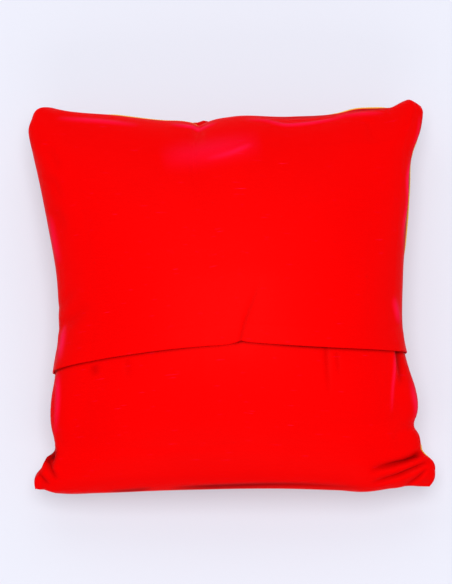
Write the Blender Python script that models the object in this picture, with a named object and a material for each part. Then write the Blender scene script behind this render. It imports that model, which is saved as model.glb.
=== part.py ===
"""Filled square cushion cover, lying on its front with its envelope back uppermost.

The back is two panels of plain red cotton. The upper one ends in a hemmed flap that lies over the
lower one. A thin yellow cord is caught in the seam all the way round. +X runs to the right of the
shown face, +Y towards the cushion's top edge, and +Z up, out of that face. Sizes are in millimetres
until a point reaches a mesh, which is in metres.
"""

import math
from collections import namedtuple

import bmesh
import bpy
import numpy as np

METRE = 0.001
WELD_REACH = 0.001 * METRE
LEAST_LENGTH = 1e-9

# Thicknesses of the cloth and the clearance between layers
CLOTH = 1.2
HEM_CLOTH = 1.8
GAP = 0.3

# How far the filling stands above and below the seam, before the floor flattens it
CROWN_RISE = 64.0
UNDERSIDE_DROP = 68.0

# How quickly the crown falls off: across the width it is a full roll, along the height a softer wedge
CROWN_POWER_ACROSS = 0.42
CROWN_POWER_ALONG = 0.58

# The flap's overlap on the lower panel, and the hem folded along its edge, in rows of the mesh
COLUMNS = 36
ROWS = 34
HEM_ROW = 14
HEM_ROWS = 1
OVERLAP_ROWS = 4

# Moves the middle columns so that one runs through the dip in the top seam
COLUMN_SHIFT = 0.02

# The cord in the seam
CORD_RADIUS = 1.0
CORD_OUT = 1.9
CORD_SIDES_STEP = 1

# A fold fades out over this share of the crown's height as it nears the seam
FOLD_FADE = 0.22

# The seam, side by side: the place along the side, how far out it lies, and its height above the floor
Seam = namedtuple("Seam", "along out height")

LEFT_SEAM = (
    Seam(-184.5, -188, 40),
    Seam(-178, -189, 41),
    Seam(-170, -184.5, 42),
    Seam(-157, -176, 44),
    Seam(-142, -167.5, 46),
    Seam(-126, -168.5, 48),
    Seam(-41, -163.5, 52),
    Seam(-10, -164, 52),
    Seam(30, -169, 52),
    Seam(78, -178.5, 51),
    Seam(125, -189.5, 49),
    Seam(158, -197.5, 46),
    Seam(175, -198, 44),
    Seam(187, -195, 43),
)
RIGHT_SEAM = (
    Seam(-183, 192, 40),
    Seam(-174, 194.5, 41),
    Seam(-157, 188, 43),
    Seam(-145, 180.5, 45),
    Seam(-126, 173, 47),
    Seam(-111, 175, 48),
    Seam(-41, 163.5, 52),
    Seam(0, 162, 52),
    Seam(54, 167.5, 52),
    Seam(102, 172.5, 51),
    Seam(149, 179, 49),
    Seam(171, 185.5, 46),
    Seam(182, 188.5, 45),
    Seam(194.5, 186, 44),
)
TOP_SEAM = (
    Seam(-195, 187, 43),
    Seam(-187, 190, 43),
    Seam(-162, 187.5, 45),
    Seam(-114, 182, 48),
    Seam(-67, 176.5, 50),
    Seam(-45, 175, 50),
    Seam(-32.5, 171.5, 50),
    Seam(-20, 176, 50),
    Seam(0, 179.5, 51),
    Seam(59, 179.5, 51),
    Seam(113, 185.5, 49),
    Seam(148, 190.5, 46),
    Seam(166, 196, 45),
    Seam(178, 198, 44),
    Seam(186, 194.5, 44),
)
BOTTOM_SEAM = (
    Seam(-188, -184.5, 40),
    Seam(-180, -185.5, 41),
    Seam(-163, -186, 43),
    Seam(-125, -185.5, 46),
    Seam(-49, -183, 49),
    Seam(64, -182.5, 50),
    Seam(102, -183.5, 48),
    Seam(124, -185, 47),
    Seam(147, -183, 45),
    Seam(163, -181, 43),
    Seam(183, -182.5, 41),
    Seam(192, -183, 40),
)

# How far each side's roll stands out past the plain crown, which makes it hang over the seam
Roll = namedtuple("Roll", "left right bottom top")
ROLL = Roll(left=9.0, right=6.5, bottom=9.0, top=2.5)
ROLL_WIDTH = 0.42

# The flap's edge, left to right: place across the cushion and place along it
Hem = namedtuple("Hem", "across along")
HEM = (
    Hem(-168, -77),
    Hem(-125, -68.5),
    Hem(-60, -61),
    Hem(8, -55.5),
    Hem(60, -58.5),
    Hem(120, -58.5),
    Hem(167, -56),
)

# Folds, each a line through three places: a depth below nothing is a ridge, and the peak is the
# share of the line at which it is deepest
Fold = namedtuple("Fold", "start bend end width depth peak")
FOLDS = (
    # the crease that runs up the flap from the kink in its hem
    Fold((6, -52), (17, -25), (29, 7), width=11, depth=2.2, peak=0.0),
    # the dent on the left roll, beside the narrowest place
    Fold((-170, -34), (-152, -24), (-130, -12), width=11, depth=3.0, peak=0.2),
    # the fold under the flap, and its faint neighbour further left
    Fold((91, -66), (93, -88), (95, -112), width=9, depth=1.8, peak=0.1),
    Fold((-99, -70), (-98, -80), (-96, -92), width=9, depth=1.0, peak=0.1),
    # the strong valley under the flap's right end, with the ridge beside it
    Fold((163, -62), (164, -84), (167, -108), width=6, depth=4.5, peak=0.2),
    Fold((151, -64), (152, -92), (153, -124), width=7, depth=-1.6, peak=0.4),
    # the lower left corner's folds
    Fold((-176, -168), (-172, -160), (-162, -144), width=6, depth=5.0, peak=0.3),
    Fold((-183, -164), (-176, -176), (-168, -184), width=5, depth=2.4, peak=0.3),
    # the lower right corner's folds, the deepest from the notch in the side
    Fold((180, -150), (158, -164), (128, -173), width=6, depth=5.0, peak=0.15),
    Fold((188, -166), (152, -177), (120, -184), width=5, depth=3.0, peak=0.3),
    # the upper left side's long trough, and the ridges and dips behind the top seam
    Fold((-191, 150), (-186, 118), (-178, 78), width=9, depth=2.2, peak=0.4),
    Fold((-104, 172), (-70, 166), (-46, 170), width=8, depth=-2.6, peak=0.5),
    Fold((-33, 168), (-32, 158), (-30, 144), width=9, depth=3.6, peak=0.1),
    Fold((30, 176), (50, 162), (92, 174), width=8, depth=-2.2, peak=0.5),
    Fold((134, 178), (136, 164), (138, 148), width=9, depth=2.6, peak=0.2),
    # the broad swell across the upper part of the flap
    Fold((-70, 128), (-10, 137), (44, 140), width=22, depth=-1.8, peak=0.5),
)

# Colours as the shader takes them, and surface values
Finish = namedtuple("Finish", "name colour roughness metallic")
RED_COTTON = Finish("red_cotton", (0.93, 0.002, 0.002, 1.0), 0.9, 0.0)
FRONT_COTTON = Finish("front_red_cotton", (0.85, 0.002, 0.002, 1.0), 0.9, 0.0)
YELLOW_CORD = Finish("yellow_cord", (0.83, 0.45, 0.03, 1.0), 0.75, 0.0)


def smooth_through(places, values, at):
    """The smooth curve through values at rising places, read at each place asked for."""
    places = np.asarray(places, float)
    values = np.asarray(values, float)
    slopes = np.gradient(values, places)
    span = np.clip(np.searchsorted(places, at) - 1, 0, len(places) - 2)
    width = places[span + 1] - places[span]
    share = (at - places[span]) / width
    rest = 1 - share
    return (
        values[span] * rest**2 * (1 + 2 * share)
        + values[span + 1] * share**2 * (1 + 2 * rest)
        + slopes[span] * width * share * rest**2
        - slopes[span + 1] * width * rest * share**2
    )


def side_points(seam, share, runs_across):
    """Points of one side's seam at shares from -1 to 1 of its length."""
    along, out, height = (np.array(column, float) for column in zip(*seam))
    at = along[0] + (along[-1] - along[0]) * (share + 1) / 2
    far = smooth_through(along, out, at)
    high = smooth_through(along, height, at)
    across, up = (at, far) if runs_across else (far, at)
    return np.stack([across, up, high], axis=-1)


def seam_sheet(a, b):
    """The flat sheet that spans the four seams, at places a across and b along, each from -1 to 1."""
    left = side_points(LEFT_SEAM, b, False)
    right = side_points(RIGHT_SEAM, b, False)
    bottom = side_points(BOTTOM_SEAM, a, True)
    top = side_points(TOP_SEAM, a, True)
    east = ((a + 1) / 2)[..., None]
    north = ((b + 1) / 2)[..., None]
    ends = np.array([-1.0, 1.0])
    low_left, low_right = side_points(BOTTOM_SEAM, ends, True)
    high_left, high_right = side_points(TOP_SEAM, ends, True)
    sides = left * (1 - east) + right * east + bottom * (1 - north) + top * north
    corners = (
        low_left * (1 - east) * (1 - north)
        + low_right * east * (1 - north)
        + high_left * (1 - east) * north
        + high_right * east * north
    )
    return sides - corners


def lattice_places():
    """Places a and b of each column and row, with the rows bent so that one follows the hem."""
    column = np.linspace(-1, 1, COLUMNS + 1)
    column = column + COLUMN_SHIFT * np.cos(column * math.pi / 2)
    row = np.linspace(-1, 1, ROWS + 1)
    a = np.sin(column * math.pi / 2)[:, None] * np.ones(ROWS + 1)
    plain = np.sin(row * math.pi / 2)[None, :] * np.ones((COLUMNS + 1, 1))
    at_hem = plain[:, HEM_ROW : HEM_ROW + 1]
    middle = seam_sheet(a[:, 0], np.zeros(COLUMNS + 1))[:, 0]
    hem_across, hem_along = zip(*HEM)
    hem_y = smooth_through(hem_across, hem_along, middle)
    low_y = side_points(BOTTOM_SEAM, a[:, 0], True)[:, 1]
    high_y = side_points(TOP_SEAM, a[:, 0], True)[:, 1]
    hem = (2 * (hem_y - low_y) / (high_y - low_y) - 1)[:, None]
    below = -1 + (plain + 1) * (hem + 1) / (at_hem + 1)
    above = 1 - (1 - plain) * (1 - hem) / (1 - at_hem)
    return a, np.where(plain <= at_hem, below, above)


def crown(a, b):
    """The share of the full height at places a and b: one in the middle, nothing at the seam."""
    across = np.clip(1 - a**2, 0, None) ** CROWN_POWER_ACROSS
    along = np.clip(1 - b**2, 0, None) ** CROWN_POWER_ALONG
    return across * along


def roll_out(place, near, far):
    """How far a roll at each end of the places pushes outwards, as a signed distance."""
    angle = np.arcsin(np.clip(place, -1, 1)) * 2 / math.pi
    depth = np.clip((1 - np.abs(angle)) / ROLL_WIDTH, 0, 1)
    return np.sin(math.pi * depth) * np.where(place < 0, -near, far)


def fold_depth(points, fold):
    """How deep one fold is at each point."""
    line = np.array([fold.start, fold.bend, fold.end], float)
    lengths = np.linalg.norm(np.diff(line, axis=0), axis=1)
    nearest = np.full(points.shape[:-1], np.inf)
    travelled = np.zeros(points.shape[:-1])
    before = 0.0
    for start, end, length in zip(line[:-1], line[1:], lengths):
        share = np.clip((points - start) @ (end - start) / length**2, 0, 1)
        distance = np.linalg.norm(points - (start + share[..., None] * (end - start)), axis=-1)
        closer = distance < nearest
        nearest = np.where(closer, distance, nearest)
        travelled = np.where(closer, before + share * length, travelled)
        before += length
    way = travelled / before
    rising = way / fold.peak if fold.peak > 0 else np.ones_like(way)
    falling = (1 - way) / (1 - fold.peak)
    strength = np.clip(np.minimum(rising, falling), 0, 1)
    return fold.depth * strength * (2 - strength) * np.exp(-((nearest / fold.width) ** 2))


def outward_directions(points):
    """Directions out of the shown surface, level and straight out of the side along the seam."""
    normal = np.cross(np.gradient(points, axis=0), np.gradient(points, axis=1))
    normal /= np.linalg.norm(normal, axis=-1, keepdims=True)
    along_columns = np.gradient(points[..., :2], axis=1)
    along_rows = np.gradient(points[..., :2], axis=0)
    rim = np.zeros_like(points)
    rim[0, :, :2] += np.stack([-along_columns[0, :, 1], along_columns[0, :, 0]], axis=-1)
    rim[-1, :, :2] += np.stack([along_columns[-1, :, 1], -along_columns[-1, :, 0]], axis=-1)
    for column in (0, -1):
        rim[column] /= np.linalg.norm(rim[column], axis=-1, keepdims=True)
    ends = np.zeros_like(points)
    ends[:, 0, :2] = np.stack([along_rows[:, 0, 1], -along_rows[:, 0, 0]], axis=-1)
    ends[:, -1, :2] = np.stack([-along_rows[:, -1, 1], along_rows[:, -1, 0]], axis=-1)
    for row in (0, -1):
        ends[:, row] /= np.linalg.norm(ends[:, row], axis=-1, keepdims=True)
    edge = rim + ends
    length = np.linalg.norm(edge, axis=-1, keepdims=True)
    return np.where(length > 0, edge / np.maximum(length, LEAST_LENGTH), normal)


def filling_sheet():
    """The sheet between the seams with its sides rolled outwards, and the crown's share at each point."""
    a, b = lattice_places()
    points = seam_sheet(a, b)
    share = crown(a, b)
    points[..., 0] += roll_out(a, ROLL.left, ROLL.right) * np.sqrt(share)
    points[..., 1] += roll_out(b, ROLL.bottom, ROLL.top) * np.sqrt(share)
    return points, share


def shown_surface():
    """The filling's upper surface with its folds, and the directions out of it."""
    points, share = filling_sheet()
    points[..., 2] += CROWN_RISE * share
    out = outward_directions(points)
    depth = sum(fold_depth(points[..., :2], fold) for fold in FOLDS)
    fade = np.clip(share / FOLD_FADE, 0, 1)
    points = points - out * (depth * fade)[..., None]
    return points, outward_directions(points)


def resting_surface():
    """The filling's lower surface, flat where it rests on the floor."""
    points, share = filling_sheet()
    points[..., 2] = np.maximum(points[..., 2] - UNDERSIDE_DROP * share, 0)
    return points


def faces_around(vertices):
    """Every face that meets one of these vertices, in a steady order."""
    faces = {face.index: face for vertex in vertices for face in vertex.link_faces}
    return [faces[index] for index in sorted(faces)]


def turn_corner_diagonals(mesh, vertices, corners):
    """Turns a diagonal that cuts off a corner, so that no triangle has all its points on the seam."""
    cut = []
    for face in faces_around(vertices):
        if all(vertex.is_boundary for vertex in face.verts) and corners & set(face.verts):
            cut += [edge for edge in face.edges if not edge.is_boundary]
    bmesh.ops.rotate_edges(mesh, edges=cut)


def add_layer(mesh, surface, first_row, last_row):
    """Adds a triangulated layer whose vertices lie on a surface's rows, and returns its vertices."""
    rows = last_row - first_row
    made = bmesh.ops.create_grid(mesh, x_segments=COLUMNS, y_segments=rows, size=1)["verts"]
    mesh.faces.index_update()
    bmesh.ops.triangulate(mesh, faces=faces_around(made), quad_method="FIXED")
    mesh.faces.index_update()
    corners = set()
    for vertex in made:
        column = round((vertex.co.x + 1) / 2 * COLUMNS)
        row = first_row + round((vertex.co.y + 1) / 2 * rows)
        vertex.co = surface[column, row] * METRE
        if column in (0, COLUMNS) and row in (0, ROWS):
            corners.add(vertex)
    turn_corner_diagonals(mesh, made, corners)
    mesh.faces.index_update()
    return made


def finish_object(name, mesh, finish):
    """Turns a bmesh into a smooth-shaded object with its own material."""
    data = bpy.data.meshes.new(name)
    mesh.to_mesh(data)
    mesh.free()
    data.shade_smooth()
    item = bpy.data.objects.new(name, data)
    bpy.context.scene.collection.objects.link(item)
    add_material(item, finish)
    return item


def add_material(item, finish):
    """Gives an object a plain material."""
    material = bpy.data.materials.new(finish.name)
    material.use_nodes = True
    shader = material.node_tree.nodes["Principled BSDF"]
    shader.inputs["Base Color"].default_value = finish.colour
    shader.inputs["Roughness"].default_value = finish.roughness
    shader.inputs["Metallic"].default_value = finish.metallic
    item.data.materials.append(material)


def filled_front(shown, resting):
    """The front panel and what fills it: one closed body, crowned above and resting flat below."""
    mesh = bmesh.new()
    add_layer(mesh, shown, 0, ROWS)
    lower = add_layer(mesh, resting, 0, ROWS)
    bmesh.ops.reverse_faces(mesh, faces=faces_around(lower))
    rim = [vertex for vertex in mesh.verts if vertex.is_boundary]
    bmesh.ops.remove_doubles(mesh, verts=rim, dist=WELD_REACH)
    return finish_object("filled_front", mesh, FRONT_COTTON)


def cloth_panel(name, inner, outer, first_row, last_row):
    """A sheet of cloth between two surfaces, closed along its cut edges."""
    mesh = bmesh.new()
    add_layer(mesh, outer, first_row, last_row)
    below = add_layer(mesh, inner, first_row, last_row)
    bmesh.ops.reverse_faces(mesh, faces=faces_around(below))
    edges = [edge for edge in mesh.edges if edge.is_boundary]
    bmesh.ops.bridge_loops(mesh, edges=edges)
    bmesh.ops.triangulate(mesh, faces=[face for face in mesh.faces if len(face.verts) > 3])
    return finish_object(name, mesh, RED_COTTON)


def lower_back_panel(shown, out):
    """The lower panel, from the bottom seam to its own hidden edge under the flap."""
    inner = shown + out * GAP
    outer = shown + out * (GAP + CLOTH)
    return cloth_panel("lower_back_panel", inner, outer, 0, HEM_ROW + OVERLAP_ROWS)


def upper_back_panel(shown, out):
    """The upper panel, from its hem, which lies over the lower panel, to the top seam."""
    row = np.arange(ROWS + 1)
    lift = np.where(row <= HEM_ROW + OVERLAP_ROWS, 2 * GAP + CLOTH, GAP)
    cloth = np.where(row <= HEM_ROW + HEM_ROWS, HEM_CLOTH, CLOTH)
    inner = shown + out * lift[None, :, None]
    outer = shown + out * (lift + cloth)[None, :, None]
    return cloth_panel("upper_back_panel", inner, outer, HEM_ROW, ROWS)


def rim_of(surface):
    """A surface's points round its edge, anticlockwise from the lower left corner."""
    return np.concatenate(
        [surface[:-1, 0], surface[-1, :-1], surface[:0:-1, -1], surface[0, :0:-1]]
    )


def seam_edging(shown, out):
    """The thin cord caught in the seam, just below the back panels' cut edges."""
    drop = np.array([0, 0, GAP + CORD_RADIUS])
    route = (rim_of(shown) + rim_of(out) * CORD_OUT - drop) * METRE
    curve = bpy.data.curves.new("seam_edging", "CURVE")
    curve.dimensions = "3D"
    curve.bevel_depth = CORD_RADIUS * METRE
    curve.bevel_resolution = CORD_SIDES_STEP
    spline = curve.splines.new("POLY")
    spline.points.add(len(route) - 1)
    for point, place in zip(spline.points, route):
        point.co = (*place, 1)
    spline.use_cyclic_u = True
    item = bpy.data.objects.new("seam_edging", curve)
    bpy.context.scene.collection.objects.link(item)
    add_material(item, YELLOW_CORD)
    return item


def centred(shown, resting, out):
    """Both surfaces moved so that the finished cushion stands over the middle of its own outline."""
    row = np.arange(ROWS + 1)
    stack = np.where(row <= HEM_ROW + OVERLAP_ROWS, 2 * GAP + CLOTH, GAP)
    stack = stack + np.where(row <= HEM_ROW + HEM_ROWS, HEM_CLOTH, CLOTH)
    stack = np.where(row < HEM_ROW, GAP + CLOTH, stack)
    cloth = (shown + out * stack[None, :, None]).reshape(-1, 3)
    cord = rim_of(shown) + rim_of(out) * (CORD_OUT + CORD_RADIUS)
    reach = np.concatenate([cloth, cord, resting.reshape(-1, 3)])
    middle = (reach.min(axis=0) + reach.max(axis=0)) / 2
    shift = np.array([middle[0], middle[1], 0])
    return shown - shift, resting - shift


def main():
    for item in list(bpy.data.objects):
        bpy.data.objects.remove(item)
    shown, out = shown_surface()
    resting = resting_surface()
    shown, resting = centred(shown, resting, out)
    filled_front(shown, resting)
    lower_back_panel(shown, out)
    upper_back_panel(shown, out)
    seam_edging(shown, out)


main()
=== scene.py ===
"""Looks of the filled cushion cover: its cloth, flap, hem, seam cord, floor, light and camera.

The cushion lies on its front with its envelope back uppermost. Sizes in the tables are millimetres
over the shown face, +X to its right and +Y to its top edge; every mesh is in metres, where the
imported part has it.
"""

import sys
import logging
import math
from dataclasses import dataclass
from enum import Enum

import bmesh
import bpy
import numpy as np
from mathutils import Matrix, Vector


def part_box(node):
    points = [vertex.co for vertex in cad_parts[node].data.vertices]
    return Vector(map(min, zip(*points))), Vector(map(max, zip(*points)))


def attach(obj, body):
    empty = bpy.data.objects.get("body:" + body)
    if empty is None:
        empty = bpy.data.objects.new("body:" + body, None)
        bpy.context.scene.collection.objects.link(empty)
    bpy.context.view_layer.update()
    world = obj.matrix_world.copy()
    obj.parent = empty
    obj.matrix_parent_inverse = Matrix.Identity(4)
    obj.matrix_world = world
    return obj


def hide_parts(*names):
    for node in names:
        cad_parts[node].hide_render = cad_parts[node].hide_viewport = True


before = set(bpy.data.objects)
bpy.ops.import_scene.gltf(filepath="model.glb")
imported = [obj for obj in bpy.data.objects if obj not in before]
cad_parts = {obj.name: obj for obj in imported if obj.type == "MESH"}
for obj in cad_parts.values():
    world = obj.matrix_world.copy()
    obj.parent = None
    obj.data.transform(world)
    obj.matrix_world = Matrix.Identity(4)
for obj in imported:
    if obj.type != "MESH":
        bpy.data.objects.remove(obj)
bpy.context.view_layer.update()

# one millimetre, in the metres of every mesh
MILLIMETRE = 0.001
FULL_TURN = 2 * math.pi
BODY = "root"
UV_NAME = "flat_cloth"
# the name of the mesh attribute that carries painted shade in folds and painted highlights on crests
PAINTED_LIGHT_NAME = "painted_fold_light"
# how far a fold's lip stands from its middle, in widths of the fold
LIP_PLACE = 1.8
LAMP_AIM = (0.0, 0.0, 0.06)
LEAST_LENGTH = 1e-9
WELD_REACH = 1e-6

log = logging.getLogger("cushion")


class Side(Enum):
    """The four sides of the cushion, as seen on the shown face."""

    LEFT = "left"
    RIGHT = "right"
    BOTTOM = "bottom"
    TOP = "top"


class Layer(Enum):
    """Which cloth a fold is pressed into: all of it, or only the lower panel."""

    ALL = "all"
    LOWER = "lower"


@dataclass(frozen=True)
class Station:
    """A place on one side's seam: along the side, out from the middle, and above the floor."""

    along: float
    out: float
    height: float


@dataclass(frozen=True)
class Fold:
    """A soft trough along a line of places, deepest at the peak's share of its length.

    A depth below nothing makes a ridge. A lip raises the cloth beside the trough by that share of
    its depth, on the left of the line, or on its right if the lip is below nothing. The value before
    the lip is painted light: painted shade that darkens the bottom of a fold, or below nothing a
    painted highlight that pales a crest.
    """

    line: tuple[tuple[float, float], ...]
    width: float
    depth: float
    peak: float
    # painted shade in the fold's bottom, or below nothing a painted highlight on its crest
    painted_light: float = 0.0
    lip: float = 0.0


@dataclass(frozen=True)
class CordPlace:
    """A place along one side, and how far the cord shows there.

    At 0 it is tucked under, at 1 it lies right out, and past 1 it stands off the seam.
    """

    along: float
    shows: float


@dataclass(frozen=True)
class HemPlace:
    """A place on the flap's edge, and how far the edge lifts off the panel below it."""

    across: float
    along: float
    lift: float


def table_of(kind: type, *values: tuple) -> tuple:
    """A table of one kind of place or fold, from its rows in the order of the kind's fields."""
    return tuple(kind(*row) for row in values)


def column_of(table: tuple, field: str) -> np.ndarray:
    """One column of a table, by the name of its field."""
    return np.array([getattr(row, field) for row in table], float)


SEAM: dict[Side, tuple[Station, ...]] = {
    Side.LEFT: table_of(
        Station,
        (-185.5, -190.5, 40), (-180, -191.5, 40.5), (-174, -191, 41.5), (-169, -188.5, 42.5),
        (-165, -185, 43), (-160.5, -182.3, 43.5), (-154.5, -179, 44.5), (-149.5, -173, 45.5),
        (-145.5, -170, 46), (-138, -170.3, 47), (-129, -172.5, 48), (-42.5, -165.5, 52),
        (-11, -165.5, 52), (30, -170.5, 52), (78.5, -180.5, 51), (126.5, -192, 49),
        (145, -197.5, 47.5), (158, -200.8, 46), (168, -202, 45), (178, -200.5, 44),
        (184, -199.3, 43.5), (189.5, -197, 43),
    ),
    Side.RIGHT: table_of(
        Station,
        (-183.5, 191, 40), (-179, 194, 40.5), (-173, 196.3, 41.5), (-166, 196.5, 42.5),
        (-161, 195.8, 43), (-156.5, 192.5, 44), (-152, 185.5, 45), (-148.5, 182, 45.5),
        (-142, 181.3, 46), (-134, 179.5, 46.5), (-128, 175.8, 47), (-123, 174.8, 47.5),
        (-114, 177.5, 48), (-42.5, 163.5, 52), (-1, 163.3, 52), (54, 168.2, 52),
        (103, 173.4, 51), (144, 177.8, 49.5), (151, 180.2, 49), (158, 183.5, 48),
        (166, 186.8, 47), (174, 189.2, 46), (183.5, 191, 45), (190, 191.2, 44.5),
        (195.6, 189.6, 44),
    ),
    Side.TOP: table_of(
        Station,
        (-197, 189.5, 43), (-193, 193.5, 43), (-188, 195.3, 43), (-182, 195.2, 43.5),
        (-173, 193, 44.5), (-164, 191, 45), (-115.5, 185, 48), (-67.5, 178.5, 50),
        (-45.5, 177.2, 50), (-38.5, 175.6, 50), (-33, 172.6, 50), (-28, 174.8, 50),
        (-20, 178.2, 50), (0, 182, 51), (59.5, 182.3, 51), (108, 187, 49.5),
        (120, 190.5, 48.5), (149.5, 193, 46.5), (157.5, 193.8, 46), (162.5, 196.4, 45.5),
        (168, 199.6, 45), (173, 202, 44.5), (176, 202.9, 44.5), (179.5, 201.6, 44),
        (184.5, 199, 44), (189.6, 195.6, 44),
    ),
    Side.BOTTOM: table_of(
        Station,
        (-190.5, -185.5, 40), (-185, -186.5, 40.5), (-180, -186.7, 41), (-175.5, -188.3, 42),
        (-171, -189.8, 42.5), (-164, -190.5, 43), (-126.5, -190.2, 46), (-49.5, -187.3, 49),
        (64.5, -186.3, 50), (103, -187.8, 48), (125.5, -189.2, 47), (142, -187.3, 45.5),
        (150, -186, 45), (158, -185, 44), (164.5, -183.5, 43), (170, -183, 42.5),
        (181, -183.5, 41.5), (191, -183.5, 40),
    ),
}

CORD: dict[Side, tuple[CordPlace, ...]] = {
    Side.LEFT: table_of(
        CordPlace,
        (-185, 0.0), (-96, 0.0), (-88, 0.8), (-70, 0.7), (-62, 0.0), (190, 0.0),
    ),
    Side.BOTTOM: table_of(
        CordPlace,
        (-188, 0.0), (192, 0.0),
    ),
    Side.RIGHT: table_of(
        CordPlace,
        (-183, 0.0), (-157, 0.1), (-151, 1.9), (-145, 1.7), (-136, 0.0), (26, 0.1),
        (38, 1.35), (60, 1.6), (84, 1.6), (104, 1.2), (122, 1.4), (142, 0.9),
        (152, 1.0), (164, 0.4), (176, 0.0),
    ),
    Side.TOP: table_of(
        CordPlace,
        (-178, 0.0), (-168, 0.1), (-150, 0.1), (-132, 0.2), (-122, 0.9), (-60, 1.0),
        (10, 0.9), (40, 0.6), (100, 0.8), (116, 1.0), (150, 1.0), (160, 0.3),
        (178, 0.0),
    ),
}

HEM: tuple[HemPlace, ...] = table_of(
    HemPlace,
    (-168, -76, 1.5), (-141, -70.3, 1.3), (-94, -64.3, 1.2), (-60, -60.8, 1.2), (-26, -58.2, 0.8),
    (-12, -57.4, 0.5), (-4, -56.6, 0.4), (2, -55.2, 0.8), (7, -53.6, 1.4), (14, -54.5, 1.0),
    (30, -55.7, 1.0), (63, -57.3, 1.7), (120, -57.9, 1.4), (150, -57.0, 1.2), (167, -55.8, 1.2),
)

FOLDS: dict[Layer, tuple[Fold, ...]] = {
    # along each line: its width, depth, deepest share, painted shade (below nothing, painted highlight) and
    # lip
    Layer.ALL: table_of(
        Fold,
        # the crease that runs up the flap from the kink in its hem, with painted shade in it
        (((7, -54), (12.5, -34), (18, -20), (28, 9)), 2.2, 0.8, 0, 0.22),
        (((9, -52), (17, -25), (29, 9)), 10, 1, 0, 0),
        # the dents on the left roll, beside the narrowest place, with faint painted shade in them
        (((-168, -36), (-152, -26), (-132, -12)), 6, 1.6, 0.2, 0.08),
        (((-169, -14), (-160, -8), (-148, 4)), 4, 0.9, 0.2, 0.05),
        # the crests on the lower right and left rolls, with painted highlights on them
        (((171, -82), (174, -98), (177, -112), (175, -128)), 2.6, -0.6, 0.6, -0.4),
        (((-160, -28), (-161, -46), (-163, -66)), 2.6, -0.6, 0.5, -0.5),
        # the lower left corner's folds, with painted shade in them
        (((-168, -147), (-174, -155), (-179, -162)), 4.6, 2.6, 0.5, 0.85),
        (((-170, -144), (-173, -150), (-173, -158), (-170, -166)), 3, 4.5, 0.3, 0.2, 0.2),
        (((-181, -155), (-176, -163), (-172, -170), (-167, -178)), 2.4, 3.6, 0.35, 0.55, 0.3),
        (((-187, -168), (-181, -176), (-174, -182)), 2, 2.4, 0.4, 0.45, 0.3),
        # the lower right corner's folds, the deepest from the notch in the side, most with painted shade in
        # them
        (((182, -150), (177, -154), (166, -160), (152, -164), (130, -170)), 3, 6.5, 0.12, 0.9, 0.25),
        (((191, -159), (173, -167), (156, -174), (132, -181)), 2.4, 4.2, 0.35, 0.5, 0.3),
        (((187, -166), (177, -176), (164, -183)), 2, 3, 0.45, 0.4, 0.3),
        (((176, -124), (164, -130), (150, -140)), 4, 1.6, 0.15, 0),
        # the crests just inside the right, left and top seams, with painted highlights on them
        (
            (
                (186, 184), (184, 166), (180.5, 153), (176, 137), (171.5, 119),
                (170.5, 91), (167, 73), (165, 60), (164, 42),
            ),
            1.4, -0.9, 0.5, -0.6,
        ),
        (((154, -4), (156, -14), (159, -30)), 2.4, -1, 0.5, -0.4),
        (((-177, 80), (-171, 49), (-166, 28)), 3, -1, 0.5, -0.3),
        (((-166, -76), (-166, -104), (-169, -136)), 2.2, -1, 0.3, -0.35),
        (((-174, 179), (-130, 174), (-90, 168)), 2.4, -0.8, 0.5, -0.35),
        (((-61, 170), (-41, 167), (-27, 166), (-14, 172)), 1.8, -1.2, 0.5, -0.5),
        (((12, 173), (32, 173), (52, 167), (66, 168), (92, 173), (114, 179)), 1.6, -1.2, 0.5, -0.45),
        (((100, 178), (130, 182), (151, 184)), 2.2, -1, 0.5, -0.25),
        # the walls between those crests and the seam, and the turn under the bottom edge, darkened with
        # painted shade
        (
            (
                (189.5, 186), (187.5, 172), (182.5, 155), (178, 142), (174, 122),
                (173, 95), (170, 75), (167.5, 60), (167, 40),
            ),
            1.5, 0.7, 0.5, 0.8,
        ),
        (((20, 178), (60, 178), (110, 183)), 1.8, 0.6, 0.6, 0.35),
        (((112, 184), (135, 188), (160, 190)), 1.5, 0.5, 0.5, 0.6),
        (((-120, -188), (-95, -187), (-75, -185)), 1.6, 0.6, 0.5, 0.6),
        (((-60, -185), (-15, -183.5), (0, -183), (60, -182), (130, -185)), 1.8, 0.9, 0.25, 0.8),
        # the dips behind the top seam
        (((-33, 168), (-32, 158), (-30, 146)), 5, 2, 0.1, 0),
        (((134, 176), (136, 162), (138, 148)), 5, 1.2, 0.2, 0),
        # the upper left side's shallow diagonal pulls, with faint painted shade in them
        (((-186, 150), (-176, 140), (-168, 122)), 4, 1.2, 0.4, 0.06),
        (((-184, 120), (-172, 108), (-166, 92)), 4, 1, 0.4, 0.06),
        (((-178, 84), (-168, 76), (-160, 60)), 5, 1, 0.4, 0.06),
        # the broad swell across the upper part of the flap, with a faint painted highlight on it
        (((-70, 128), (-25, 136), (30, 146)), 12, -1.6, 0.5, -0.16),
        (((-26, 126), (0, 133), (20, 143)), 2.4, -0.4, 0.7, -0.25),
    ),
    # along each line: its width, depth, deepest share, painted shade (below nothing, painted highlight) and
    # lip
    Layer.LOWER: table_of(
        Fold,
        # the folds under the flap, with painted shade in them
        (((88, -60), (89, -79), (91, -104)), 2.4, 1.2, 0, 0.2),
        (((98, -61), (99, -72), (100, -86)), 2.2, 0.7, 0.1, 0.15),
        (((-99, -68), (-98, -77), (-96, -88)), 3.5, 0.7, 0.2, 0.1),
        (((-131, -72), (-129, -78), (-127, -82)), 4, 0.9, 0.3, 0.3),
        # the strong valley under the flap's right end, with painted shade in it, and a ridge beside it with
        # a painted highlight
        (((158, -56), (159, -66), (160, -76), (160, -90)), 3, 2.6, 0, 0.6, -0.3),
        (((154.5, -58), (154, -74), (152, -95), (151, -116)), 1.2, -0.6, 0.2, -0.35),
    ),
}


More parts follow.
